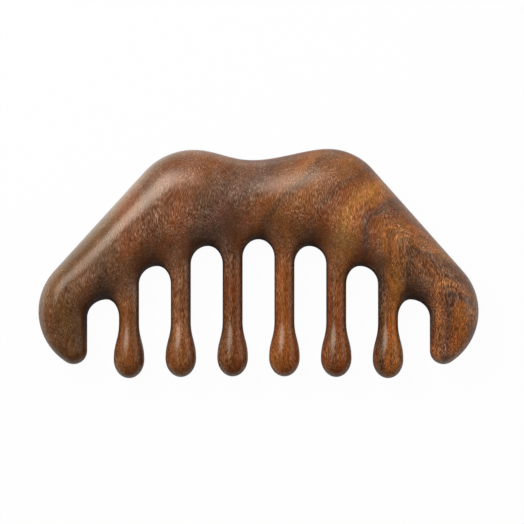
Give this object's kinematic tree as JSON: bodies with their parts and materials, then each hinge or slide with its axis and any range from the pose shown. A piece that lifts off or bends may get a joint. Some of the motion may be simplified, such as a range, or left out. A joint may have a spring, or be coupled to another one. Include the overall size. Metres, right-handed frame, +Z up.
{
  "type": "wide-tooth comb",
  "caption": "Handheld wooden wide-tooth comb: a thick, smoothly rounded back with two end horns and round bead-tipped teeth for detangling hair and massaging the scalp.",
  "frame": {"origin": "on the surface that the comb lies on, under the middle of its length and of its depth", "axes": "+X along the comb's length, +Y from the tooth tips to the back, +Z up through its thickness"},
  "size_m": [0.1448, 0.0754, 0.018],
  "materials": {
    "wood": "satin oiled"
  },
  "bodies": {
    "root": {"back": "wood", "tooth_1": "wood", "tooth_2": "wood", "tooth_3": "wood", "tooth_4": "wood", "tooth_5": "wood", "tooth_6": "wood"}
  },
  "joints": []
}
